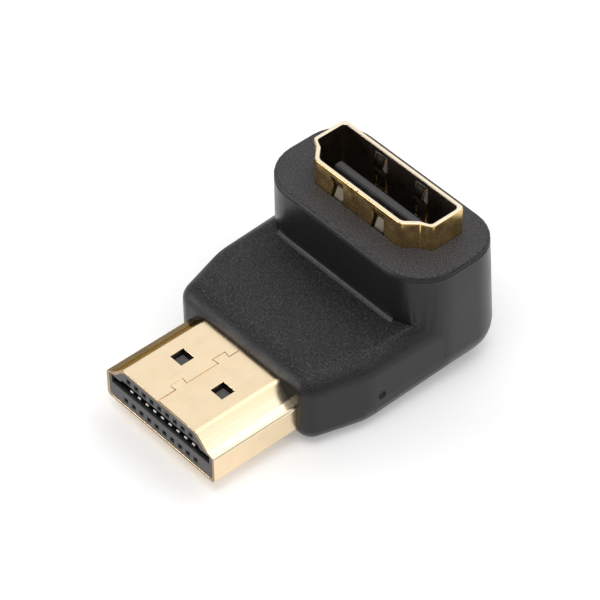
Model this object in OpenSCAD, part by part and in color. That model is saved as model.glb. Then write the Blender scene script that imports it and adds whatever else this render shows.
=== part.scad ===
// Right-angle video adapter: a flat plug leaves the level arm of an L-shaped moulded
// housing, and a matching socket stands out of the top of its upright arm.
// +X is the width, -Y the way the plug points, +Z up. The origin is the middle of the
// underside of the whole adapter, and all sizes are millimetres.

/* [Housing] */
// Width of the upright arm
body_w = 20.5; // [20.2:0.1:22]
// Length of the housing from the front wall to the back of its heel
body_l = 21.1; // [20.8:0.1:22]
// Amount that the back wall leans forward on its way up
back_lean = 0.55; // [0:0.05:0.8]
// Height of the level arm
arm_h = 7.5; // [7.3:0.05:8]
// Width of the level arm where it joins the upright arm
arm_w = 20.48; // [19.8:0.02:20.5]
// Width of the level arm where its nose begins
bend_w = 19.6; // [19.2:0.1:19.8]
// Width of the front wall, where the level arm is narrowest
nose_w = 16.4; // [16:0.1:17]
// Length over which the nose narrows towards the front wall
nose_l = 5.6; // [4:0.1:7]
// Radius of the long edges and the front edges of the level arm
arm_edge_r = 1.9; // [1.2:0.1:2.1]
// Radius of the front corners of the level arm, seen from above
nose_corner_r = 1.5; // [1.3:0.1:2]
// Height of the upright arm
riser_h = 12.95; // [12.6:0.05:13.6]
// Depth of the upright arm at its top
riser_d = 10.2; // [10:0.1:10.6]
// Front corner radius of the upright arm, seen from above
riser_corner_r = 4.1; // [3.6:0.1:4.3]
// Back corner radius of the upright arm, seen from above
back_corner_r = 3.6; // [3.4:0.1:4]
// Radius of the heel and of the lower side edges under the upright arm
heel_r = 3.2; // [2.4:0.1:3.2]
// Radius of the top edge round the socket
rim_r = 0.4; // [0.2:0.05:0.4]
// Thickness of the outer skin over the inner moulding
skin = 1.1; // [1:0.05:1.2]

/* [Plug] */
// Outside width of the plug shell
plug_w = 13.9; // [13.8:0.05:14]
// Outside height of the plug shell
plug_h = 4.45; // [4.4:0.05:4.5]
// Length of plug that stands out of the housing
plug_l = 8.9; // [8.4:0.1:11.8]
// Thickness of the plug shell
plug_wall = 0.3; // [0.25:0.05:0.35]
// Height of the plug's underside above the underside of the housing
plug_lift = 1.3; // [1.2:0.05:1.4]

/* [Socket] */
// Inside width of the socket
socket_w = 14.08; // [14:0.02:14.1]
// Inside height of the socket, across its wide and narrow sides
socket_h = 4.55; // [4.5:0.05:4.6]
// Thickness of the socket shell
socket_wall = 0.38; // [0.3:0.02:0.4]
// Height that the socket stands out of the top of the housing
socket_proud = 2.65; // [2.4:0.05:3]
// Distance from the top of the back wall to the wide side of the socket
socket_back = 2.35; // [2.2:0.05:2.4]

/* [Contacts] */
// Distance between neighbouring contacts of one row
pitch = 1; // [0.95:0.01:1]
// Width of a contact
contact_w = 0.35; // [0.3:0.05:0.45]
// Thickness of a contact
contact_t = 0.2; // [0.15:0.01:0.2]

/* [Hidden] */
// Contacts on the wide side and on the narrow side of a connector
wide_count = 10;
narrow_count = 9;

// How far cutters run past the faces that they open, and past each other
cut = 1;
overlap = 0.01;
// Segments in each rounded corner of an outline, and across each rounded edge
corner_steps = 8;
edge_steps = 7;

// Planes of the housing along Y and Z
back_y = (body_l + plug_l) / 2;
front_y = back_y - body_l;
tip_y = front_y - plug_l;
rim_back_y = back_y - back_lean;
riser_front_y = rim_back_y - riser_d;
mouth_z = riser_h + socket_proud;

// Corner radii of both connectors' outline from the wide side to the narrow side, and how
// far its upper corners come down for each unit that its walls move inwards
flare_radii = [0.45, 0.4, 0.45, 0.75];
side_ease = 0.3;
shoulder_ease = 0.6;
top_ease = 0.55;

// Plug: its outline, from the underside up, and the slot that takes a socket's tongue
plug_side_h = 2.85;
plug_shoulder_w = 12.1;
plug_shoulder_h = 3.22;
plug_top_w = 9.5;
plug_rear_y = front_y + 4.8;
plug_insulator_rear_y = front_y + 1.5;
slot_floor = 1.85;
slot_roof = 3.05;
slot_side_roof = 2.72;
slot_w = 12.6;
slot_roof_w = 9.7;
slot_step = 0.3;
insulator_recess = 0.03;
slot_l = 7;

// Latch windows of the plug shell, the recess with its pad under each, and the folded seam
window_w = 1.45;
window_l = 1.4;
window_x = 2.6;
window_y = front_y - 4.2;
recess_gap = 0.2;
recess_depth = 0.6;
pad_drop = 0.15;
seam_w = 0.08;
seam_depth = 0.12;
seam_run = 0.5;
lock_l = 1.2;
lock_reach = 0.7;
lock_flare = 0.12;
lock_ys = [front_y - 6.45, front_y - 1.9];

// Square holes in the end of the plug's insulator
pocket_w = 0.5;
pocket_h = 0.52;
pocket_depth = 0.8;
wide_pocket_z = 0.93;
narrow_pocket_z = 3.47;

// Circuit board: both connectors are soldered to it
board_t = 0.8;
board_z = plug_lift + (slot_floor + slot_roof - board_t) / 2;
board_top = board_z + board_t;
board_w = 16.4;
board_tongue_w = 12.6;
board_front_y = plug_insulator_rear_y + 0.1;
board_wide_y = plug_rear_y + 0.3;
board_back_y = rim_back_y - 1.6;
board_chamfer = 1.2;
leg_clearance = 0.15;

// Socket: where its shell stands, its outline from the wide side, and its tongue
socket_out_w = socket_w + 2 * socket_wall;
socket_out_h = socket_h + 2 * socket_wall;
socket_wide_y = rim_back_y - socket_back;
socket_side_h = 3.55;
socket_shoulder_w = 12.9;
socket_shoulder_h = 4.12;
socket_narrow_w = 10.6;
socket_foot_z = board_top + 0.15;
tongue_y = socket_wide_y - socket_out_h / 2;
tongue_t = 0.9;
tongue_w = 10.6;
tongue_drop = 1.9;
tongue_top_z = mouth_z - tongue_drop;
tongue_bevel = 0.16;
tongue_root = 0.5;
socket_base_z = board_top + 0.9;
socket_floor_z = mouth_z - 8;
leg_w = 1;
leg_z = board_z - 0.75;
leg_spread = 2.2;
leg_root = 0.2;

// Locking tab in the seam on the narrow side of the socket shell
tab_w = 0.5;
tab_h = 0.9;
tab_z = mouth_z - 1.8;

// Spring fingers of the socket shell
finger_w = 1.1;
finger_gap = 0.2;
finger_x = 2.5;
finger_top_z = mouth_z - 0.75;
finger_bend_z = mouth_z - 1.7;
finger_root_z = mouth_z - 4.4;
finger_reach = 0.52;
finger_tip_reach = 0.05;
finger_straight = 1.5;
finger_overlap = 0.3;
finger_t = 0.8 * socket_wall;

// Contacts of the plug: their feet on the board, the bend inside the insulator, the low
// crest and the end of the wide row, and the bend and the nose of the narrow row
plug_foot_l = 2.6;
bend_start = 1;
bend_end = 2;
wide_rise_y = tip_y + 3;
wide_crest = [tip_y + 1.6, 0.16];
wide_end = [tip_y + 0.6, -0.12];
narrow_bend_y = tip_y + 4.6;
narrow_nose = [tip_y + 0.45, plug_lift + 2.12];
contact_nose_r = 0.16;

// Contacts of the socket: their feet on the board, and the bend inside the insulator
foot_l = 0.9;
foot_offset = 1.1;
joggle_low = socket_base_z + 0.6;
joggle_high = socket_base_z + 1.4;
contact_proud = 0.04;
contact_top_z = tongue_top_z - 0.5;

// Inner moulding and the dimple left by the mould on the right-hand side
mould_front_y = front_y + 1.5;
mould_nose_w = nose_w - 0.9;
mould_bottom_z = 1.1;
mould_corner_r = 2.4;
mould_heel = 1.9;
mould_bevel = 1.4;
dimple_r = 0.4;
dimple_y = front_y + 6.9;
dimple_z = 3.1;
dimple_sink = 0.16;

// Rounded edge and narrow groove round the top of the upright arm
rim_h = 0.45;
groove_h = 0.12;
groove_depth = 0.05;
neck_root = 0.15;

// Rounding of the bend in the sides of the level arm, and how its front corners tighten
// towards the upper and lower edges
bend_r = 6;
nose_corner_ease = 0.6;
nose_corner_min_r = 0.3;

// Hollow curve between the two arms, which runs a little way round the corners
hollow_r = 0.45;
hollow_turn = 15;
hollow_root = 0.3;

// Unit vector along v
function unit(v) = v / norm(v);
// Signed turn from angle a to angle b, the short way round
function turn(a, b) = let (d = b - a) d > 180 ? d - 360 : d < -180 ? d + 360 : d;
// Arc that rounds corner p between its neighbours before and after it
function corner(before, p, after, r) =
    let (
        u = unit(before - p),
        v = unit(after - p),
        half = acos(u * v) / 2,
        centre = p + unit(u + v) * r / sin(half),
        first = p + u * r / tan(half) - centre,
        last = p + v * r / tan(half) - centre,
        a = atan2(first.y, first.x),
        sweep = turn(a, atan2(last.y, last.x))
    )
    [for (i = [0 : corner_steps]) centre + r * [cos(a + sweep * i / corner_steps),
                                                sin(a + sweep * i / corner_steps)]];
// Outline with each corner rounded to its own radius; radius 0 leaves it sharp
function rounded(points, radii) =
    let (n = len(points))
    [for (i = [0 : n - 1])
        each radii[i] > 0
            ? corner(points[(i + n - 1) % n], points[i], points[(i + 1) % n], radii[i])
            : [points[i]]];
// List from its last element to its first
function backwards(list) = [for (i = [len(list) - 1 : -1 : 0]) list[i]];
// Right half of an outline together with its mirror image
function both_sides(half) = concat(half, [for (p = backwards(half)) [-p.x, p.y]]);
// Places of the contacts of one row, centred on the middle
function row_x(count, i) = (i - (count + 1) / 2) * pitch;

// Outline shared by a plug and a socket, drawn with its wide side down and its corners
// moved inwards by inset
function flared(w, h, side_h, shoulder_w, shoulder_h, top_w, inset) =
    rounded(
        both_sides([
            [w / 2 - inset, inset],
            [w / 2 - inset, side_h - side_ease * inset],
            [shoulder_w / 2 - inset, shoulder_h - shoulder_ease * inset],
            [top_w / 2 - top_ease * inset, h - inset]
        ]),
        concat(flare_radii, backwards(flare_radii))
    );
function plug_outline(inset) =
    flared(plug_w, plug_h, plug_side_h, plug_shoulder_w, plug_shoulder_h, plug_top_w, inset);
function socket_outline(inset) =
    flared(socket_out_w, socket_out_h, socket_side_h, socket_shoulder_w,
           socket_shoulder_h, socket_narrow_w, inset);

// Stretches a plug outline from y0 to y1 along the plug
module along_plug(y0, y1) {
    translate([0, y1, plug_lift]) rotate([90, 0, 0]) linear_extrude(y1 - y0) children();
}
// Stretches a socket outline from z0 to z1 up the socket, wide side to the back
module up_socket(z0, z1) {
    translate([0, socket_wide_y, z0]) linear_extrude(z1 - z0) mirror([0, 1]) children();
}
// Stretches a side view, drawn in Y and Z, across the width w about x
module across(x, w) {
    translate([x - w / 2, 0, 0]) rotate([90, 0, 90]) linear_extrude(w) children();
}
// Solid that joins level outlines, all with the same number of points, each at its height
module loft(outlines, heights) {
    n = len(outlines[0]);
    top = len(outlines) - 1;
    points = [for (k = [0 : top]) each [for (p = outlines[k]) [p.x, p.y, heights[k]]]];
    sides = [for (k = [0 : top - 1], i = [0 : n - 1])
        let (j = (i + 1) % n, lower = k * n, upper = lower + n)
        each [[lower + i, upper + i, upper + j], [lower + i, upper + j, lower + j]]];
    floor_face = [for (i = [0 : n - 1]) i];
    roof_face = [for (i = [n - 1 : -1 : 0]) top * n + i];
    polyhedron(points, concat([floor_face], sides, [roof_face]));
}

// Plan of the upright arm, moved in by inset, with its back at y1
function riser_plan(inset, y1) =
    let (
        w = body_w / 2 - inset,
        y0 = riser_front_y + inset,
        front_r = riser_corner_r - inset,
        back_r = back_corner_r - inset
    )
    rounded([[-w, y0], [w, y0], [w, y1 - inset], [-w, y1 - inset]],
            [front_r, front_r, back_r, back_r]);
// Plan of the level arm, which narrows to the front wall and ends inside the upright
// arm; its front is moved in by inset and its back by back_inset
function arm_plan(inset, back_inset) =
    let (
        w = arm_w / 2 - back_inset,
        b = bend_w / 2 - inset,
        n = nose_w / 2 - inset,
        y1 = back_y - riser_d / 2,
        bend_y = front_y + nose_l,
        r = max(nose_corner_r - nose_corner_ease * inset, nose_corner_min_r)
    )
    rounded(
        [[-n, front_y + inset], [n, front_y + inset], [b, bend_y], [w, y1],
         [-w, y1], [-b, bend_y]],
        [r, r, bend_r, 0, 0, bend_r]
    );
// How far a rounded edge of radius r has moved in, and has risen, at each of its steps
function edge_insets(r) = [for (i = [0 : edge_steps]) r * (1 - sin(90 * i / edge_steps))];
function edge_rises(r) = [for (i = [0 : edge_steps]) r * (1 - cos(90 * i / edge_steps))];
// How far it has moved in at a given rise
function inset_at(r, rise) = rise < r ? r - sqrt(rise * (2 * r - rise)) : 0;

// Upright arm from its rounded heel up to the groove under the rim
module riser_block() {
    loft(concat([for (inset = edge_insets(heel_r)) riser_plan(inset, back_y)],
                [riser_plan(0, rim_back_y)]),
         concat(edge_rises(heel_r), [riser_h - rim_h - groove_h]));
}
// Rim of the upright arm, with a rounded upper edge, on a slightly narrower neck
module riser_rim() {
    bottom = riser_h - rim_h;
    translate([0, 0, bottom - groove_h - neck_root])
        linear_extrude(groove_h + 2 * neck_root) polygon(riser_plan(groove_depth, rim_back_y));
    loft(concat([riser_plan(0, rim_back_y)],
                [for (inset = backwards(edge_insets(rim_r))) riser_plan(inset, rim_back_y)]),
         concat([bottom], [for (rise = backwards(edge_rises(rim_r))) riser_h - rise]));
}
// Level arm with rounded edges; the lower ones widen to the radius of the heel
module arm_block() {
    lower = edge_rises(heel_r);
    upper = backwards(edge_rises(arm_edge_r));
    loft(concat([for (z = lower) arm_plan(inset_at(arm_edge_r, z), inset_at(heel_r, z))],
                [for (z = upper) arm_plan(inset_at(arm_edge_r, z), inset_at(arm_edge_r, z))]),
         concat(lower, [for (z = upper) arm_h - z]));
}
// Section of the hollow curve, standing outwards from the wall and up from the level arm
module hollow_section() {
    r = hollow_r;
    curve = [for (i = [0 : edge_steps])
        let (a = 90 * i / edge_steps) [r - r * sin(a), r - r * cos(a)]];
    polygon(concat([[-hollow_root, -hollow_root], [r, -hollow_root]], curve,
                   [[-hollow_root, r]]));
}
// Hollow curve where the level arm meets the front of the upright arm
module inner_corner() {
    straight_w = body_w - 2 * riser_corner_r;
    translate([-straight_w / 2, riser_front_y, arm_h]) rotate([90, 0, 90])
        linear_extrude(straight_w) mirror([1, 0]) hollow_section();
    for (side = [0, 1])
        mirror([side, 0, 0])
            translate([straight_w / 2, riser_front_y + riser_corner_r, arm_h])
                rotate([0, 0, -90]) rotate_extrude(angle = hollow_turn, $fn = 96)
                    translate([riser_corner_r, 0]) hollow_section();
}
// Solid taken up by the plug shell, and the one taken up by the socket shell
module plug_envelope() along_plug(tip_y - cut, plug_rear_y) polygon(plug_outline(0));
module socket_envelope() up_socket(socket_foot_z, mouth_z + cut) polygon(socket_outline(0));

module housing() {
    color([0.2, 0.2, 0.21])
        difference() {
            union() {
                riser_block();
                riser_rim();
                arm_block();
                inner_corner();
            }
            mould_form();
            plug_envelope();
            socket_envelope();
            translate([bend_w / 2 + dimple_sink, dimple_y, dimple_z])
                sphere(dimple_r, $fn = 24);
        }
}
// Inner moulding before the connectors and the board are let into it
module mould_form() {
    n = mould_nose_w / 2;
    b = bend_w / 2 - skin;
    w = body_w / 2 - skin;
    y0 = riser_front_y + skin;
    y1 = rim_back_y - skin;
    arm_top = arm_h - skin;
    top = riser_h - skin;
    intersection() {
        union() {
            translate([0, 0, mould_bottom_z]) linear_extrude(arm_top - mould_bottom_z)
                polygon(both_sides([[n, mould_front_y], [b, front_y + nose_l],
                                    [b, y0 + mould_corner_r], [n, y1 - mould_corner_r]]));
            translate([0, 0, mould_bottom_z]) linear_extrude(top - mould_bottom_z)
                polygon(rounded([[-w, y0], [w, y0], [w, y1], [-w, y1]],
                                [for (i = [0 : 3]) mould_corner_r]));
        }
        across(0, body_w)
            polygon([[front_y, 0], [y1 - mould_heel, mould_bottom_z],
                     [y1, mould_bottom_z + mould_heel], [y1, riser_h], [front_y, riser_h]]);
        translate([0, back_y, 0]) rotate([90, 0, 0]) linear_extrude(body_l)
            polygon(both_sides([[w - mould_bevel, mould_bottom_z],
                                [w, mould_bottom_z + mould_bevel], [w, riser_h]]));
    }
}
module inner_mould() {
    color([0.86, 0.86, 0.82])
        difference() {
            mould_form();
            plug_envelope();
            socket_envelope();
            circuit_board_form();
            socket_legs();
            up_socket(board_top - overlap, socket_foot_z + overlap) polygon(socket_outline(0));
        }
}

// Board outline: a narrow tongue between the plug's contact tails, and a wide rear
module circuit_board_form() {
    translate([0, 0, board_z]) linear_extrude(board_t)
        polygon(both_sides([[board_tongue_w / 2, board_front_y],
                            [board_tongue_w / 2, board_wide_y],
                            [board_w / 2, board_wide_y],
                            [board_w / 2, board_back_y - board_chamfer],
                            [board_w / 2 - board_chamfer, board_back_y]]));
}
module circuit_board() {
    color([0.1, 0.32, 0.2])
        difference() {
            circuit_board_form();
            for (x = [-1, 1], y = leg_ys())
                translate([x * leg_x() - socket_wall / 2 - leg_clearance,
                           y - leg_w / 2 - leg_clearance, board_z - cut])
                    cube([socket_wall + 2 * leg_clearance, leg_w + 2 * leg_clearance,
                          board_t + 2 * cut]);
        }
}

// Groove that follows the folded seam on the narrow side of the plug shell, round the locks
module plug_seam() {
    translate([0, 0, plug_lift + plug_h - seam_depth]) linear_extrude(seam_depth + cut)
        difference() {
            union() {
                translate([-seam_w / 2, tip_y - cut])
                    square([seam_w, front_y - tip_y + cut + seam_run]);
                for (y = lock_ys) translate([0, y]) lock_plan(0);
            }
            for (y = lock_ys) translate([0, y]) lock_plan(seam_w);
        }
}
// Dovetail where one edge of the folded shell locks into the other
module lock_plan(inset) {
    l = lock_l / 2 - inset;
    polygon([[seam_w / 2 + inset, -l], [-lock_reach + inset, -l - lock_flare],
             [-lock_reach + inset, l + lock_flare], [seam_w / 2 + inset, l]]);
}
module plug_shell() {
    color([0.93, 0.78, 0.45])
        difference() {
            along_plug(tip_y, plug_rear_y) polygon(plug_outline(0));
            along_plug(tip_y - cut, plug_rear_y + cut) polygon(plug_outline(plug_wall));
            for (x = [-window_x, window_x])
                translate([x - window_w / 2, window_y - window_l / 2, 0])
                    cube([window_w, window_l, plug_lift + plug_h + cut]);
            plug_seam();
        }
}
module plug_insulator() {
    color([0.4, 0.39, 0.39])
        difference() {
            along_plug(tip_y + insulator_recess, plug_insulator_rear_y)
                polygon(plug_outline(plug_wall));
            along_plug(tip_y - cut, tip_y + slot_l)
                polygon(both_sides([[slot_w / 2, slot_floor],
                                    [slot_w / 2, slot_side_roof],
                                    [slot_roof_w / 2 + slot_step, slot_side_roof],
                                    [slot_roof_w / 2, slot_roof]]));
            for (i = [1 : wide_count]) {
                end_pocket(row_x(wide_count, i), wide_pocket_z);
                plug_contact_form(row_x(wide_count, i), wide_path());
            }
            for (i = [1 : narrow_count]) {
                end_pocket(row_x(narrow_count, i), narrow_pocket_z);
                plug_contact_form(row_x(narrow_count, i), narrow_path());
            }
            for (x = [-window_x, window_x]) {
                translate([x, window_y, plug_lift + plug_h - plug_wall]) window_recess();
                translate([x, window_y, plug_lift + plug_wall]) mirror([0, 0, 1])
                    window_recess();
            }
        }
}
// Recess under a latch window, with a pad left standing in its middle
module window_recess() {
    w = window_w + 2 * recess_gap;
    l = window_l + 2 * recess_gap;
    pad_w = window_w - 2 * recess_gap;
    pad_l = window_l - 2 * recess_gap;
    difference() {
        translate([-w / 2, -l / 2, -recess_depth]) cube([w, l, recess_depth + cut]);
        translate([-pad_w / 2, -pad_l / 2, -recess_depth - cut])
            cube([pad_w, pad_l, recess_depth + cut - pad_drop]);
    }
}
module end_pocket(x, z) {
    translate([x - pocket_w / 2, tip_y - cut, plug_lift + z - pocket_h / 2])
        cube([pocket_w, cut + pocket_depth, pocket_h]);
}

// Strip of constant thickness t that follows a path in the side view
function strip(path, t) =
    let (
        n = len(path),
        side = [for (i = [0 : n - 1])
            let (
                a = unit(path[min(i + 1, n - 1)] - path[min(i, n - 2)]),
                b = unit(path[max(i, 1)] - path[max(i - 1, 0)]),
                m = unit(a + b),
                scale = 1 / (m * a)
            )
            [-m.y, m.x] * scale * t / 2]
    )
    concat(path + side, backwards(path - side));
// Side views of the plug's two rows, from the foot on the board to the nose in the slot
function wide_path() =
    let (
        z0 = board_z - contact_t / 2,
        z1 = plug_lift + slot_floor - contact_t / 2
    )
    [[plug_insulator_rear_y + plug_foot_l, z0], [plug_insulator_rear_y - bend_start, z0],
     [plug_insulator_rear_y - bend_end, z1], [wide_rise_y, z1],
     wide_crest + [0, z1], wide_end + [0, z1]];
function narrow_path() =
    let (
        z0 = board_top + contact_t / 2,
        z1 = plug_lift + slot_roof + contact_t / 2
    )
    [[plug_insulator_rear_y + plug_foot_l, z0], [plug_insulator_rear_y - bend_start, z0],
     [plug_insulator_rear_y - bend_end, z1], [narrow_bend_y, z1], narrow_nose];
module plug_contact_form(x, path) {
    across(x, contact_w) polygon(strip(path, contact_t));
}
module plug_wide_contact(i) {
    color([0.85, 0.65, 0.3]) plug_contact_form(row_x(wide_count, i), wide_path());
}
module plug_narrow_contact(i) {
    x = row_x(narrow_count, i);
    color([0.85, 0.65, 0.3])
        union() {
            plug_contact_form(x, narrow_path());
            translate([x - contact_w / 2, narrow_nose.x, narrow_nose.y])
                rotate([0, 90, 0]) cylinder(h = contact_w, r = contact_nose_r, $fn = 32);
        }
}

// Middle plane of the shell's side walls, and the places of its four legs
function leg_x() = (socket_out_w - socket_wall) / 2;
function leg_ys() = [for (s = [-0.5, 0.5]) socket_wide_y - socket_side_h / 2 + s * leg_spread];
module socket_legs() {
    for (x = [-1, 1], y = leg_ys())
        translate([x * leg_x() - socket_wall / 2, y - leg_w / 2, leg_z])
            cube([socket_wall, leg_w, socket_foot_z - leg_z + leg_root]);
}
// Openings in the shell round one spring finger
module finger_slots(x, wall_y) {
    for (s = [-1, 1])
        translate([x + s * (finger_w + finger_gap) / 2 - finger_gap / 2, wall_y - cut,
                   finger_root_z])
            cube([finger_gap, 2 * cut, finger_top_z + finger_gap - finger_root_z]);
    translate([x - finger_w / 2 - finger_gap / 2, wall_y - cut, finger_root_z])
        cube([finger_w + finger_gap, 2 * cut, finger_top_z + finger_gap - finger_root_z]);
}
// Spring finger rooted deep in the shell and bent inwards near the mouth; way is the
// direction of the inside
module finger(x, wall_y, way) {
    path = [[wall_y, finger_root_z - finger_overlap],
            [wall_y, finger_root_z + finger_straight],
            [wall_y + way * finger_reach, finger_bend_z],
            [wall_y + way * finger_tip_reach, finger_top_z]];
    across(x, finger_w) polygon(strip(path, finger_t));
}
module socket_shell() {
    wide_mid = socket_wide_y - socket_wall / 2;
    narrow_mid = socket_wide_y - socket_out_h + socket_wall / 2;
    color([0.85, 0.68, 0.34])
        union() {
            difference() {
                up_socket(socket_foot_z, mouth_z) polygon(socket_outline(0));
                up_socket(socket_foot_z - cut, mouth_z + cut)
                    polygon(socket_outline(socket_wall));
                for (x = [-finger_x, finger_x]) {
                    finger_slots(x, wide_mid);
                    finger_slots(x, narrow_mid);
                }
                socket_seam();
            }
            for (x = [-finger_x, finger_x]) {
                finger(x, wide_mid, -1);
                finger(x, narrow_mid, 1);
            }
            socket_legs();
        }
}
// Seam down the middle of the shell's narrow side, with its locking tab
module socket_seam() {
    y = socket_wide_y - socket_out_h;
    translate([-seam_w / 2, y - cut, socket_foot_z])
        cube([seam_w, cut + seam_depth, mouth_z - socket_foot_z + cut]);
    translate([-tab_w, y + seam_depth, tab_z]) rotate([90, 0, 0])
        linear_extrude(seam_depth + cut)
            difference() {
                square([tab_w, tab_h]);
                translate([seam_w, seam_w]) square([tab_w, tab_h - 2 * seam_w]);
            }
}
module socket_insulator() {
    t = tongue_t / 2;
    color([0.13, 0.13, 0.14])
        difference() {
            union() {
                up_socket(socket_base_z, socket_floor_z)
                    polygon(socket_outline(socket_wall));
                across(0, tongue_w)
                    polygon([[tongue_y - t, socket_floor_z - tongue_root],
                             [tongue_y - t, tongue_top_z - tongue_bevel],
                             [tongue_y - t + tongue_bevel, tongue_top_z],
                             [tongue_y + t - tongue_bevel, tongue_top_z],
                             [tongue_y + t, tongue_top_z - tongue_bevel],
                             [tongue_y + t, socket_floor_z - tongue_root]]);
            }
            for (i = [1 : wide_count])
                socket_contact_form(row_x(wide_count, i), 1);
            for (i = [1 : narrow_count])
                socket_contact_form(row_x(narrow_count, i), -1);
        }
}
// Contact on one face of the tongue, with its foot on the board; side is 1 for the wide
// side and -1 for the narrow side
module socket_contact_form(x, side) {
    y0 = tongue_y + side * (tongue_t / 2 - contact_t / 2 + contact_proud);
    y1 = tongue_y + side * foot_offset;
    foot_z = board_top + contact_t / 2;
    across(x, contact_w)
        polygon(strip(
            [[y1 + side * foot_l, foot_z], [y1, foot_z], [y1, joggle_low],
             [y0, joggle_high], [y0, contact_top_z]],
            contact_t
        ));
}
module socket_wide_contact(i) {
    color([0.85, 0.65, 0.3]) socket_contact_form(row_x(wide_count, i), 1);
}
module socket_narrow_contact(i) {
    color([0.85, 0.65, 0.3]) socket_contact_form(row_x(narrow_count, i), -1);
}

housing();
inner_mould();
circuit_board();
plug_shell();
plug_insulator();
for (i = [1 : wide_count])
    plug_wide_contact(i);
for (i = [1 : narrow_count])
    plug_narrow_contact(i);
socket_shell();
socket_insulator();
for (i = [1 : wide_count])
    socket_wide_contact(i);
for (i = [1 : narrow_count])
    socket_narrow_contact(i);
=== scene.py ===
"""Looks of a right-angle video adapter: softened edges, finishes, stage and camera.

It is laid out as an add-on and run as a script. Lengths are metres in the frame of the
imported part: +X is the width, -Y the way the plug points, +Z up.
"""

from math import cos, radians, sin

import bmesh
import bpy
from bpy.props import FloatProperty, FloatVectorProperty, IntProperty, PointerProperty
from bpy.types import Operator, Panel, PropertyGroup
from mathutils import Matrix, Vector


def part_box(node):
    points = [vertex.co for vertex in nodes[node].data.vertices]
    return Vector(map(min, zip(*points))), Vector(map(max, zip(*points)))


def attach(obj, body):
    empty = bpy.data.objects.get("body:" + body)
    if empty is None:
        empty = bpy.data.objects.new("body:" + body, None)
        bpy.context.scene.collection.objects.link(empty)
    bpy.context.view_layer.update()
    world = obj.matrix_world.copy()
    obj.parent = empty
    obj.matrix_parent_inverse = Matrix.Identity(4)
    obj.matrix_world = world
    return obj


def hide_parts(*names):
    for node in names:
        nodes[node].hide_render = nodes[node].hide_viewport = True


bl_info = {
    "name": "Right-angle video adapter",
    "version": (1, 0, 0),
    "blender": (4, 5, 0),
    "location": "3D View > Sidebar > Adapter",
    "description": "Edges, finishes and stage of a right-angle video adapter",
    "category": "Object",
}

MM = 0.001
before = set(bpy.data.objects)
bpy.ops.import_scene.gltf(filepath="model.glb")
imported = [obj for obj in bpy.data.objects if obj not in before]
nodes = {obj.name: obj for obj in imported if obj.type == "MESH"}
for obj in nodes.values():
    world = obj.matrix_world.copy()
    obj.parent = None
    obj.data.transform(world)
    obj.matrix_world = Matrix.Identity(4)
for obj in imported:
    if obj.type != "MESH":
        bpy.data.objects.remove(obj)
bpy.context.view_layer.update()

# Edges closer to flat than this are part of a curve, and stay smooth
CURVE_ANGLE = radians(28)
# Faces closer to level with each other than this become one face
FLAT_ANGLE = radians(0.4)
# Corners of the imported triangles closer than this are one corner
MERGE_DISTANCE = 1e-7
# Room round the folded seams, whose fine grooves keep their crisp edges
SEAM_REACH = 0.95 * MM
SEAM_DEPTH = 0.15 * MM
# Sheet of the socket's shell, and how far its fingers reach from the middle
SOCKET_WALL = 0.38 * MM
FINGER_ZONE = 4 * MM
# Height of the band at the top of the housing that is painted paler as a highlight, and of
# the top band of the socket's shell
RIM_ZONE = 0.4 * MM
# Depth below the mouth within which the upper bends of the fingers lie, painted dark as
# shade
TIP_ZONE = 1.05 * MM
# Top of the housing's level arm, and how far the hollow curve above it reaches up, where a
# highlight is painted
ARM_TOP = 7.5 * MM
HOLLOW_REACH = 0.3 * MM
# Depth over which shade is painted into the plug's slot, and thickness of the insulator
# above it
SLOT_SHADE = 0.35 * MM
SLOT_ROOF = 0.6 * MM
# Small step between one zone of a finish and the next
NUDGE = 0.05 * MM
# Segments across the rounded edges of the insulators
INSULATOR_STEPS = 2

# Range that holds nearly all of a noise
NOISE_RANGE = (0.3, 0.7)
# Grains of each noise per metre
HOUSING_GRAIN = 8500
HOUSING_CLOUDS = 500
PLUG_CLOUDS = 650
PLUG_STREAKS = 1300
SOCKET_CLOUDS = 700
PLATING_CLOUDS = 900
ROLLED_LINES = 5000
FLOW_MARKS = 1500
BOARD_WEAVE = 4000
FLOOR_FIBRES = 40
# Depth of the relief on the housing, on plated sheet and on other moulded parts
GRAIN_DEPTH = 0.03 * MM
LINE_DEPTH = 0.004 * MM
MARK_DEPTH = 0.01 * MM
# Share of its own colour that plastic shows in its pale marks, and in the shade painted deep
# in a slot
PALE_MARKS = 1.35
PAINTED_SLOT_SHADE_SHARE = 0.12
# Share of its own colour that gold shows in its dull clouds: plug, socket, other pieces
DULL_PLUG = 0.93
DULL_SOCKET = 0.72
DULL_PLATING = 0.94
# How far the roughness of moulded plastic strays to either side
UNEVEN_SHEEN = 0.06

# Numbers of the socket's painted shade and highlight finishes among its materials, after its
# outer plating
PAINTED_SHADE_INSIDE, PAINTED_SHADE_FINGER, PAINTED_HIGHLIGHT_RIM, PAINTED_HIGHLIGHT_FINGER = 1, 2, 3, 4
# Upward part of a face's direction: on level faces, on sloping ones, and the range of
# it on the backs of the fingers
LEVEL_FACE = 0.95
SLOPING_FACE = 0.1
FINGER_BACK = (0.2, 0.6)
# Sideways part of the direction of a finger's side
SIDE_FACE = 0.8

# Name, place, width and power of each light
LIGHTS = (
    ("right_back_light", (0.29, 0.22, 0.38), 0.5, 0.76),
    ("left_back_light", (-0.29, 0.25, 0.37), 0.5, 0.57),
    ("back_light", (0, 0.325, 0.505), 0.35, 0.27),
    ("top_light", (0.05, -0.12, 0.5), 0.3, 0.85),
    ("front_left_light", (-0.27, -0.4, 0.09), 0.17, 0.6),
)
# Reach of the floor from its middle, and its own faint glow
FLOOR_REACH = 3
FLOOR_GLOW = 0.25
# Point in millimetres that the camera turns about, its shift to its own right and up
# from there, the width of its sensor, and the nearest and farthest that it sees
CAMERA_PIVOT = (0, -6.1, 1.3)
CAMERA_RIGHT = 4.819 * MM
CAMERA_UP = 7.258 * MM
SENSOR_WIDTH = 36
NEAREST = 0.01
FARTHEST = 10


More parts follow.
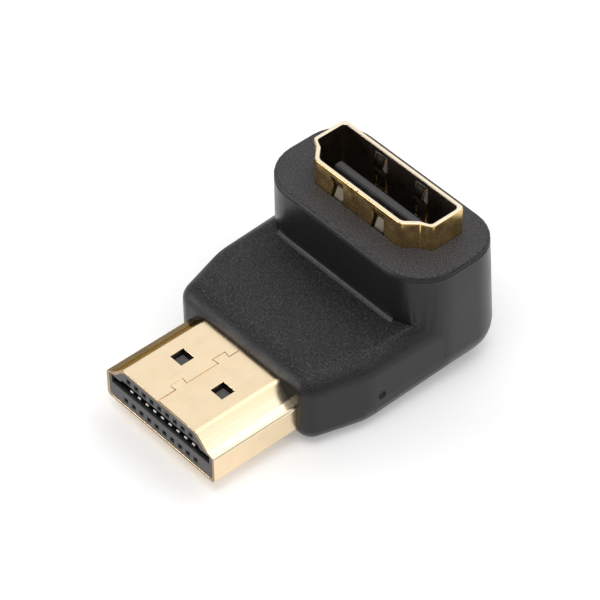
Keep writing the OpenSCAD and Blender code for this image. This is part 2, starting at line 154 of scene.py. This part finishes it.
class AdapterEdges(PropertyGroup):
    """Widths of the small rounded edges"""

    housing: FloatProperty(
        name="Housing edges",
        description="Width of the rounding on the housing's sharp edges",
        default=0.05 * MM, min=0.01 * MM, max=0.06 * MM, precision=6, unit="LENGTH")
    shell: FloatProperty(
        name="Plug shell edges",
        description="Width of the rounding on the plug's metal edges",
        default=0.06 * MM, min=0.01 * MM, max=0.1 * MM, precision=6, unit="LENGTH")
    socket_shell: FloatProperty(
        name="Socket shell edges",
        description="Width of the rounding on the socket's metal edges",
        default=0.085 * MM, min=0.01 * MM, max=0.1 * MM, precision=6, unit="LENGTH")
    insulator: FloatProperty(
        name="Insulator edges",
        description="Width of the rounding on the insulators' edges",
        default=0.05 * MM, min=0.01 * MM, max=0.08 * MM, precision=6, unit="LENGTH")
    steps: IntProperty(
        name="Steps", description="Segments across each rounded edge",
        default=3, min=1, max=6)


class AdapterColours(PropertyGroup):
    """Base colours of the finishes"""

    housing_dark: FloatVectorProperty(
        name="Housing", description="Colour of the moulded housing between its grains",
        default=(0.0105, 0.01, 0.011), size=3, min=0, max=1, subtype="COLOR")
    # Colour of the light grains, and of the highlights painted on the housing's tops, rim
    # and hollow
    housing_grain_and_highlight: FloatVectorProperty(
        name="Housing grain", description="Colour of the light grains in the housing",
        default=(0.078, 0.075, 0.082), size=3, min=0, max=1, subtype="COLOR")
    gold: FloatVectorProperty(
        name="Gold plate", description="Colour of the plated plug shell",
        default=(0.93, 0.745, 0.5), size=3, min=0, max=1, subtype="COLOR")
    # Pale gold painted as highlights: streaks on the plug's slopes, the socket's rim and the
    # backs of its fingers
    painted_highlight_gold: FloatVectorProperty(
        name="Pale gold",
        description="Colour of the streaks in the plating and of the socket's rim",
        default=(0.98, 0.86, 0.66), size=3, min=0, max=1, subtype="COLOR")
    # Brown painted on the plug's left slope as shade
    painted_shade_left_slope: FloatVectorProperty(
        name="Left slope", description="Colour of the plug's browner left slope",
        default=(0.42, 0.3, 0.14), size=3, min=0, max=1, subtype="COLOR")
    cut_edge: FloatVectorProperty(
        name="Cut edge",
        description="Colour of the sheet's bare cut edge round the plug's mouth",
        default=(0.3, 0.2, 0.09), size=3, min=0, max=1, subtype="COLOR")
    socket_gold: FloatVectorProperty(
        name="Socket shell", description="Colour of the plating outside the socket",
        default=(0.98, 0.67, 0.27), size=3, min=0, max=1, subtype="COLOR")
    contact: FloatVectorProperty(
        name="Contacts", description="Colour of the plated contacts",
        default=(0.42, 0.39, 0.37), size=3, min=0, max=1, subtype="COLOR")
    # Dark colour painted on the socket's inner walls as shade
    inside: FloatVectorProperty(
        name="Socket inside", description="Colour of the dull metal inside the socket",
        default=(0.4, 0.33, 0.26), size=3, min=0, max=1, subtype="COLOR")
    # Dark colour painted on the fingers' bends as shade
    finger: FloatVectorProperty(
        name="Finger tips",
        description="Colour of the spring fingers' dull inner bends",
        default=(0.022, 0.018, 0.014), size=3, min=0, max=1, subtype="COLOR")
    grey: FloatVectorProperty(
        name="Plug insulator", description="Colour of the plug's insulator",
        default=(0.066, 0.063, 0.064), size=3, min=0, max=1, subtype="COLOR")
    black: FloatVectorProperty(
        name="Socket insulator", description="Colour of the socket's insulator",
        default=(0.045, 0.045, 0.047), size=3, min=0, max=1, subtype="COLOR")


class AdapterStage(PropertyGroup):
    """Camera and light"""

    azimuth: FloatProperty(
        name="Azimuth",
        description="Turn of the camera to the right of the plug's front",
        default=radians(49.568), subtype="ANGLE")
    elevation: FloatProperty(
        name="Elevation", description="Height of the camera above the horizon",
        default=radians(44.342), subtype="ANGLE")
    roll: FloatProperty(
        name="Roll", description="Turn of the camera about its own axis",
        default=radians(-1.035), subtype="ANGLE")
    distance: FloatProperty(
        name="Distance", description="Distance of the camera along its own axis",
        default=275.99 * MM, unit="LENGTH", precision=5)
    lens: FloatProperty(
        name="Lens", description="Focal length of the camera on a 36 mm sensor",
        default=197.44, min=50, max=400, subtype="DISTANCE_CAMERA")
    sky: FloatProperty(
        name="Sky", description="Strength of the light that comes from all round",
        default=0.3, min=0, max=2)


def add_node(tree, kind, settings=(), **inputs):
    """New shader node with its settings and the values of its inputs."""
    node = tree.nodes.new(kind)
    for key, value in dict(settings).items():
        setattr(node, key, value)
    for key, value in inputs.items():
        node.inputs[key.replace("_", " ")].default_value = value
    return node


def new_finish(name, metallic=0.0, roughness=0.5):
    """New material, its node tree, its shader, and the object's own coordinates."""
    material = bpy.data.materials.new(name)
    material.use_nodes = True
    tree = material.node_tree
    shader = tree.nodes["Principled BSDF"]
    shader.inputs["Metallic"].default_value = metallic
    shader.inputs["Roughness"].default_value = roughness
    place = tree.nodes.new("ShaderNodeTexCoord").outputs["Object"]
    return material, tree, shader, place


def noise(tree, place, scale, detail=2.0, stretch=(1, 1, 1)):
    """Noise with a number of grains per metre, stretched along an axis where asked."""
    mapping = add_node(tree, "ShaderNodeMapping", Scale=stretch)
    texture = add_node(tree, "ShaderNodeTexNoise", Scale=scale, Detail=detail)
    tree.links.new(place, mapping.inputs["Vector"])
    tree.links.new(mapping.outputs["Vector"], texture.inputs["Vector"])
    return texture.outputs["Fac"]


def spread(tree, value, low, high, to_low, to_high):
    """Value carried from one range to another, held at its ends."""
    ranged = add_node(tree, "ShaderNodeMapRange")
    ranged.inputs["From Min"].default_value = low
    ranged.inputs["From Max"].default_value = high
    ranged.inputs["To Min"].default_value = to_low
    ranged.inputs["To Max"].default_value = to_high
    tree.links.new(value, ranged.inputs["Value"])
    return ranged.outputs["Result"]


def toned(tree, texture, low=0.0, high=1.0):
    """Noise carried to the range from low to high."""
    return spread(tree, texture, *NOISE_RANGE, low, high)


def scaled(colour, share):
    """Colour with each of its parts made darker or paler by a share."""
    return [min(1.0, share * value) for value in colour]


def blend_colours(tree, factor, low, high):
    """Colour between two colours by a factor; either may be an output of another node."""
    mix = add_node(tree, "ShaderNodeMix", {"data_type": "RGBA"})
    ends = [socket for socket in mix.inputs if socket.type == "RGBA"]
    for end, colour in zip(ends, (low, high)):
        if isinstance(colour, bpy.types.NodeSocket):
            tree.links.new(colour, end)
        else:
            end.default_value = (*colour, 1)
    tree.links.new(factor, mix.inputs["Factor"])
    return next(out for out in mix.outputs if out.type == "RGBA")


def combine(tree, first, second, operation):
    """Two values put together by a sum or a product."""
    both = add_node(tree, "ShaderNodeMath", {"operation": operation})
    tree.links.new(first, both.inputs[0])
    tree.links.new(second, both.inputs[1])
    return both.outputs["Value"]


def product(tree, first, second):
    """Product of two values."""
    return combine(tree, first, second, "MULTIPLY")


def total(tree, first, second):
    """Sum of two values."""
    return combine(tree, first, second, "ADD")


def along(tree, vector, axis):
    """One of the three coordinates of a vector."""
    split = tree.nodes.new("ShaderNodeSeparateXYZ")
    tree.links.new(vector, split.inputs["Vector"])
    return split.outputs[axis]


def facing(tree, axis):
    """How far a surface faces along an axis: 1 when it looks that way, 0 when side-on."""
    return along(tree, tree.nodes.new("ShaderNodeTexCoord").outputs["Normal"], axis)


def bump(tree, shader, height, strength, depth, uneven=None):
    """Relief of the given depth on the shader's surface, of uneven strength where given."""
    relief = add_node(tree, "ShaderNodeBump", Strength=strength, Distance=depth)
    if uneven is not None:
        tree.links.new(uneven, relief.inputs["Strength"])
    tree.links.new(height, relief.inputs["Height"])
    tree.links.new(relief.outputs["Normal"], shader.inputs["Normal"])


def housing_plastic(colours, top):
    """Spark-eroded charcoal plastic: fine light grains, an uneven sheen and painted
    highlights on its tops, rim and hollow.
    """
    material, tree, shader, place = new_finish("housing_plastic")
    shader.inputs["Specular IOR Level"].default_value = 0.35
    grain = noise(tree, place, HOUSING_GRAIN, 3)
    cloud = noise(tree, place, HOUSING_CLOUDS, 2)
    level = facing(tree, "Z")
    height = along(tree, place, "Z")

    # Painted light from above: grains are paler where the surface looks up and darker on the
    # walls
    grain_painted_paler_on_top = product(tree, spread(tree, grain, 0.47, 0.74, 0, 1.1),
                        spread(tree, level, 0.3, 0.9, 0.12, 0.95))
    # Painted highlight: a paler band on the faces that look up at the top rim
    rim = product(tree, spread(tree, height, top - RIM_ZONE, top, 0, 1),
                  spread(tree, grain, 0.36, 0.64, 0.18, 0.72))
    rim = product(tree, rim, spread(tree, level, 0.3, 0.9, 0, 1))
    # Painted highlight: a paler line in the hollow where the arm meets the upright, on faces
    # looking front
    hollow_top = ARM_TOP + HOLLOW_REACH
    fold = product(tree, spread(tree, height, ARM_TOP, ARM_TOP + NUDGE, 0, 1),
                   spread(tree, height, hollow_top, hollow_top + NUDGE, 1, 0))
    hollow = product(tree, fold, spread(tree, level, 0.35, 0.6, 0, 1))
    hollow = product(tree, hollow, spread(tree, facing(tree, "Y"), -0.25, -0.4, 0, 1))
    hollow = product(tree, spread(tree, grain, 0.3, 0.6, 0.3, 1), hollow)
    # Grains with the painted highlights on tops, rim and hollow added
    light = total(tree, grain_painted_paler_on_top, total(tree, rim, hollow))

    tree.links.new(blend_colours(tree, light, colours.housing_dark, colours.housing_grain_and_highlight),
                   shader.inputs["Base Color"])
    sheen = product(tree, toned(tree, cloud, 0.48, 0.6),
                    spread(tree, level, 0.1, 0.8, 0.56, 1))
    tree.links.new(sheen, shader.inputs["Roughness"])
    bump(tree, shader, grain, 0.7, GRAIN_DEPTH, spread(tree, level, 0.3, 0.9, 0.12, 0.8))
    return material


def rolled_lines(tree, shader, place):
    """Faint lines that the rolling of the sheet left along the plug."""
    lines = noise(tree, place, ROLLED_LINES, 2, (1, 0.06, 1))
    bump(tree, shader, lines, 0.12, LINE_DEPTH)


def gold_plate(name, colour, low, high, clouds=PLATING_CLOUDS, dullness=DULL_PLATING):
    """Gold plating with a soft haze between two roughnesses and faint rolled lines."""
    material, tree, shader, place = new_finish(name, 1.0)
    haze = noise(tree, place, clouds, 3)
    tree.links.new(toned(tree, haze, low, high), shader.inputs["Roughness"])
    tone = blend_colours(tree, toned(tree, haze), scaled(colour, dullness), colour)
    tree.links.new(tone, shader.inputs["Base Color"])
    rolled_lines(tree, shader, place)
    return material


def plug_plate(colours):
    """Plating of the plug: clouds on its top, painted highlight streaks on its slopes,
    painted shade on its left slope and a dull cut edge.
    """
    material, tree, shader, place = new_finish("plug_gold", 1.0)
    clouds = noise(tree, place, PLUG_CLOUDS, 3)
    streaks = noise(tree, place, PLUG_STREAKS, 1, (1, 0.02, 1))
    level = facing(tree, "Z")
    sloping = product(tree, spread(tree, level, 0.86, 0.96, 0.7, 0.1),
                      spread(tree, level, 0.2, 0.4, 0, 1))
    # Painted highlight streaks in pale gold on the sloping faces
    highlight_streaks = product(tree, spread(tree, streaks, 0.4, 0.6, 0, 1), sloping)
    # Painted shade: brown on the slope that faces left, also tinting its specular
    painted_shade_left_slope = product(tree, spread(tree, facing(tree, "X"), -0.2, -0.5, 0, 1),
                        spread(tree, level, 0.3, 0.5, 0, 1))
    front = spread(tree, facing(tree, "Y"), -0.6, -0.95, 0, 0.85)

    dull = scaled(colours.gold, DULL_PLUG)
    tone = blend_colours(tree, toned(tree, clouds), dull, colours.gold)
    tone = blend_colours(tree, highlight_streaks, tone, colours.painted_highlight_gold)
    tone = blend_colours(tree, painted_shade_left_slope, tone, colours.painted_shade_left_slope)
    tone = blend_colours(tree, front, tone, colours.cut_edge)
    tree.links.new(tone, shader.inputs["Base Color"])
    tree.links.new(blend_colours(tree, painted_shade_left_slope, (1, 1, 1), colours.painted_shade_left_slope),
                   shader.inputs["Specular Tint"])
    tree.links.new(toned(tree, clouds, 0.15, 0.24), shader.inputs["Roughness"])
    rolled_lines(tree, shader, place)
    return material


def moulded_plastic(name, colour, roughness, mouth=None):
    """Moulded plastic with slight flow marks, and painted shade behind a mouth where that is
    given.

    A mouth is where it begins along Y and where its roof is along Z.
    """
    material, tree, shader, place = new_finish(name)
    marks = noise(tree, place, FLOW_MARKS, 3)
    tone = blend_colours(tree, toned(tree, marks), colour, scaled(colour, PALE_MARKS))
    if mouth is not None:
        front, roof = mouth
        # Painted shade: darker deeper into the slot, below its roof
        behind = spread(tree, along(tree, place, "Y"), front, front + SLOT_SHADE, 0, 1)
        below = spread(tree, along(tree, place, "Z"), roof, roof + NUDGE, 1, 0)
        tone = blend_colours(tree, product(tree, behind, below), tone,
                             scaled(colour, PAINTED_SLOT_SHADE_SHARE))
    tree.links.new(tone, shader.inputs["Base Color"])
    tree.links.new(toned(tree, marks, roughness - UNEVEN_SHEEN, roughness + UNEVEN_SHEEN),
                   shader.inputs["Roughness"])
    bump(tree, shader, marks, 0.15, MARK_DEPTH)
    return material


def board_lacquer():
    """Green lacquer over the weave of the board."""
    material, tree, shader, place = new_finish("board_lacquer", 0.0, 0.3)
    weave = noise(tree, place, BOARD_WEAVE, 1, (1, 1, 0.2))
    tone = spread(tree, weave, 0.35, 0.65, 0, 1)
    tree.links.new(blend_colours(tree, tone, (0.01, 0.12, 0.05), (0.02, 0.2, 0.08)),
                   shader.inputs["Base Color"])
    bump(tree, shader, weave, 0.1, MARK_DEPTH)
    return material


def wear(piece, material):
    """Gives a piece one material in all of its slots."""
    if not piece.data.materials:
        piece.data.materials.append(material)
    for slot in piece.material_slots:
        slot.material = material


def softened(node, name, width, steps, crisp=lambda point: False):
    """Merged copy of a CAD node with its outer sharp edges rounded, standing for it.

    An edge stays as it is where both of its ends are crisp.
    """
    mesh = nodes[node].data.copy()
    mesh.name = name
    shape = bmesh.new()
    shape.from_mesh(mesh)
    bmesh.ops.remove_doubles(shape, verts=shape.verts[:], dist=MERGE_DISTANCE)
    bmesh.ops.dissolve_limit(shape, angle_limit=FLAT_ANGLE, use_dissolve_boundaries=False,
                             verts=shape.verts[:], edges=shape.edges[:], delimit=set())
    sharp = [edge for edge in shape.edges
             if len(edge.link_faces) == 2 and edge.is_convex
             and edge.calc_face_angle(0) > CURVE_ANGLE
             and not all(crisp(corner.co) for corner in edge.verts)]
    if not sharp:
        raise RuntimeError(f"{node} has no sharp edge to round")
    bmesh.ops.bevel(shape, geom=sharp, offset=width, offset_type="OFFSET", segments=steps,
                    profile=0.5, affect="EDGES", clamp_overlap=False, material=-1)
    for face in shape.faces:
        face.smooth = True
    shape.to_mesh(mesh)
    shape.free()
    mesh.set_sharp_from_angle(angle=CURVE_ANGLE)
    piece = bpy.data.objects.new(name, mesh)
    bpy.context.scene.collection.objects.link(piece)
    weighted = piece.modifiers.new("Even shading", "WEIGHTED_NORMAL")
    weighted.keep_sharp = True
    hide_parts(node)
    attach(piece, "root")
    return piece


class ADAPTER_OT_housing(Operator):
    """Round the edges of the moulded housing and give it its grained finish, with painted
    highlights
    """

    bl_idname = "adapter.housing"
    bl_label = "Moulded housing"

    def execute(self, context):
        edges = context.scene.adapter_edges
        piece = softened("housing", "moulded_housing", edges.housing, edges.steps)
        wear(piece, housing_plastic(context.scene.adapter_colours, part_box("housing")[1].z))
        return {"FINISHED"}


class ADAPTER_OT_plug_shell(Operator):
    """Round the edges of the plug's folded shell and plate it, with painted highlights and
    shade
    """

    bl_idname = "adapter.plug_shell"
    bl_label = "Plug shell"

    def execute(self, context):
        edges = context.scene.adapter_edges
        seam_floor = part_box("plug_shell")[1].z - SEAM_DEPTH
        piece = softened("plug_shell", "plated_plug_shell", edges.shell, edges.steps,
                         lambda point: abs(point.x) < SEAM_REACH and point.z > seam_floor)
        wear(piece, plug_plate(context.scene.adapter_colours))
        return {"FINISHED"}


class ADAPTER_OT_plug_insulator(Operator):
    """Round the edges of the plug's insulator and give it its grey plastic, with painted
    shade in its slot
    """

    bl_idname = "adapter.plug_insulator"
    bl_label = "Plug insulator"

    def execute(self, context):
        edges = context.scene.adapter_edges
        colour = context.scene.adapter_colours.grey
        piece = softened("plug_insulator", "moulded_plug_insulator", edges.insulator,
                         INSULATOR_STEPS)
        low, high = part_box("plug_insulator")
        mouth = (low.y + NUDGE, high.z - SLOT_ROOF)
        wear(piece, moulded_plastic("grey_plastic", colour, 0.5, mouth))
        return {"FINISHED"}


class ADAPTER_OT_socket_shell(Operator):
    """Round the edges of the socket's folded shell and plate it, with painted highlights and
    shade
    """

    bl_idname = "adapter.socket_shell"
    bl_label = "Socket shell"

    def execute(self, context):
        edges = context.scene.adapter_edges
        colours = context.scene.adapter_colours
        low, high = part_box("socket_shell")
        seam_floor = low.y + SEAM_DEPTH
        piece = softened("socket_shell", "plated_socket_shell", edges.socket_shell,
                         edges.steps,
                         lambda point: abs(point.x) < SEAM_REACH and point.y < seam_floor)
        wear(piece, gold_plate("socket_gold", colours.socket_gold, 0.13, 0.28,
                               SOCKET_CLOUDS, DULL_SOCKET))
        # Painted shade inside and on the fingers' bends, painted highlights on the rim and
        # the fingers' backs
        for finish in (gold_plate("painted_shade_socket_inside", colours.inside, 0.25, 0.35),
                       gold_plate("painted_shade_finger_tip", colours.finger, 0.3, 0.4),
                       gold_plate("painted_highlight_rim", colours.painted_highlight_gold, 0.2, 0.26),
                       gold_plate("painted_highlight_finger", colours.painted_highlight_gold, 0.32, 0.4)):
            piece.data.materials.append(finish)
        self.shade_faces(piece.data, low, high)
        return {"FINISHED"}

    def shade_faces(self, mesh, low, high):
        """Paints highlights on the rim and the fingers' backs, and shade on what looks into
        the socket.
        """
        middle = (low + high) / 2
        for face in mesh.polygons:
            place, way = face.center, face.normal
            inner = place + way * NUDGE
            deep = place.z < high.z - RIM_ZONE
            clear = (abs(inner.x) < high.x - SOCKET_WALL
                     and low.y + SOCKET_WALL < inner.y < high.y - SOCKET_WALL)
            inwards = way.dot((middle - place) * Vector((1, 1, 0))) > 0
            on_finger = abs(place.x) < FINGER_ZONE
            finger_side = on_finger and abs(way.x) > SIDE_FACE
            finger_back = (deep and on_finger and not inwards
                           and FINGER_BACK[0] < way.z < FINGER_BACK[1])
            bend = deep and way.z > SLOPING_FACE
            # Upper bends of the fingers: painted shade
            if bend and place.z > high.z - TIP_ZONE:
                face.material_index = PAINTED_SHADE_FINGER
            # Backs of the fingers that tilt up outside: painted highlight
            elif finger_back:
                face.material_index = PAINTED_HIGHLIGHT_FINGER
            # Faces that look up: painted highlight in pale gold
            elif way.z > LEVEL_FACE:
                face.material_index = PAINTED_HIGHLIGHT_RIM
            # What looks into the socket: painted shade
            elif clear and inwards and not finger_side:
                face.material_index = PAINTED_SHADE_FINGER if bend else PAINTED_SHADE_INSIDE


class ADAPTER_OT_socket_insulator(Operator):
    """Round the edges of the socket's tongue and give it its black plastic"""

    bl_idname = "adapter.socket_insulator"
    bl_label = "Socket insulator"

    def execute(self, context):
        edges = context.scene.adapter_edges
        colour = context.scene.adapter_colours.black
        piece = softened("socket_insulator", "moulded_socket_insulator", edges.insulator,
                         INSULATOR_STEPS)
        wear(piece, moulded_plastic("black_plastic", colour, 0.45))
        return {"FINISHED"}


class ADAPTER_OT_contacts(Operator):
    """Plate every contact of the plug and of the socket"""

    bl_idname = "adapter.contacts"
    bl_label = "Contacts"

    def execute(self, context):
        colour = context.scene.adapter_colours.contact
        plating = gold_plate("contact_gold", colour, 0.35, 0.45)
        contacts = [piece for name, piece in nodes.items() if "_contact_" in name]
        if not contacts:
            raise RuntimeError("the packed part has no contacts")
        for piece in contacts:
            wear(piece, plating)
        return {"FINISHED"}


class ADAPTER_OT_inside(Operator):
    """Finish the board and the inner moulding that hold the two connectors"""

    bl_idname = "adapter.inside"
    bl_label = "Board and inner moulding"

    def execute(self, context):
        wear(nodes["circuit_board"], board_lacquer())
        filler = moulded_plastic("inner_plastic", (0.6, 0.6, 0.55), 0.5)
        wear(nodes["inner_mould"], filler)
        return {"FINISHED"}


class ADAPTER_OT_stage(Operator):
    """Lay the floor, hang the lights and place the camera"""

    bl_idname = "adapter.stage"
    bl_label = "Stage"

    def execute(self, context):
        stage = context.scene.adapter_stage
        self.lay_floor(context)
        self.light_sky(context, stage)
        for name, place, size, power in LIGHTS:
            hang_light(context, name, place, size, power)
        self.place_camera(context, stage)
        context.scene.view_settings.view_transform = "Standard"
        return {"FINISHED"}

    def lay_floor(self, context):
        shape = bmesh.new()
        bmesh.ops.create_grid(shape, x_segments=1, y_segments=1, size=FLOOR_REACH)
        mesh = bpy.data.meshes.new("floor")
        shape.to_mesh(mesh)
        shape.free()
        floor = bpy.data.objects.new("floor", mesh)
        context.scene.collection.objects.link(floor)
        material, tree, shader, place = new_finish("floor_paper", 0.0, 0.9)
        fibres = toned(tree, noise(tree, place, FLOOR_FIBRES, 2))
        tree.links.new(blend_colours(tree, fibres, (0.9, 0.9, 0.9), (0.92, 0.92, 0.92)),
                       shader.inputs["Base Color"])
        shader.inputs["Emission Color"].default_value = (1, 1, 1, 1)
        shader.inputs["Emission Strength"].default_value = FLOOR_GLOW
        wear(floor, material)

    def light_sky(self, context, stage):
        world = bpy.data.worlds.new("studio")
        world.use_nodes = True
        background = world.node_tree.nodes["Background"]
        background.inputs["Color"].default_value = (1, 1, 1, 1)
        background.inputs["Strength"].default_value = stage.sky
        context.scene.world = world

    def place_camera(self, context, stage):
        a, e, r = stage.azimuth, stage.elevation, stage.roll
        back = Vector((sin(a) * cos(e), -cos(a) * cos(e), sin(e)))
        level = Vector((cos(a), sin(a), 0))
        upright = back.cross(level)
        right = cos(r) * level + sin(r) * upright
        up = -sin(r) * level + cos(r) * upright
        eye = CAMERA_RIGHT * right + CAMERA_UP * up + stage.distance * back
        eye += Vector(CAMERA_PIVOT) * MM
        camera = bpy.data.objects.new("camera", bpy.data.cameras.new("camera"))
        camera.data.lens = stage.lens
        camera.data.sensor_width = SENSOR_WIDTH
        camera.data.clip_start = NEAREST
        camera.data.clip_end = FARTHEST
        turn = Matrix((right, up, back)).transposed().to_4x4()
        camera.matrix_world = Matrix.Translation(eye) @ turn
        context.scene.collection.objects.link(camera)
        context.scene.camera = camera


def hang_light(context, name, place, size, power):
    """Square soft light that faces the adapter."""
    lamp = bpy.data.lights.new(name, "AREA")
    lamp.size = size
    lamp.energy = power
    light = bpy.data.objects.new(name, lamp)
    light.location = place
    light.rotation_euler = Vector(place).to_track_quat("Z", "Y").to_euler()
    context.scene.collection.objects.link(light)


class ADAPTER_PT_panel(Panel):
    """Sizes, colours and pieces of the adapter"""

    bl_idname = "ADAPTER_PT_panel"
    bl_label = "Video adapter"
    bl_space_type = "VIEW_3D"
    bl_region_type = "UI"
    bl_category = "Adapter"

    def draw(self, context):
        scene = context.scene
        for group in (scene.adapter_edges, scene.adapter_colours, scene.adapter_stage):
            box = self.layout.box()
            for key in group.__annotations__:
                box.prop(group, key)
        column = self.layout.column()
        for operator in OPERATORS:
            column.operator(operator.bl_idname)


OPERATORS = (
    ADAPTER_OT_housing,
    ADAPTER_OT_plug_shell,
    ADAPTER_OT_plug_insulator,
    ADAPTER_OT_socket_shell,
    ADAPTER_OT_socket_insulator,
    ADAPTER_OT_contacts,
    ADAPTER_OT_inside,
    ADAPTER_OT_stage,
)
CLASSES = (AdapterEdges, AdapterColours, AdapterStage, *OPERATORS, ADAPTER_PT_panel)


def register():
    for cls in CLASSES:
        bpy.utils.register_class(cls)
    bpy.types.Scene.adapter_edges = PointerProperty(type=AdapterEdges)
    bpy.types.Scene.adapter_colours = PointerProperty(type=AdapterColours)
    bpy.types.Scene.adapter_stage = PointerProperty(type=AdapterStage)


def unregister():
    del bpy.types.Scene.adapter_stage
    del bpy.types.Scene.adapter_colours
    del bpy.types.Scene.adapter_edges
    for cls in reversed(CLASSES):
        bpy.utils.unregister_class(cls)


def main():
    register()
    bpy.ops.adapter.housing()
    bpy.ops.adapter.plug_shell()
    bpy.ops.adapter.plug_insulator()
    bpy.ops.adapter.socket_shell()
    bpy.ops.adapter.socket_insulator()
    bpy.ops.adapter.contacts()
    bpy.ops.adapter.inside()
    bpy.ops.adapter.stage()


if __name__ == "__main__":
    main()
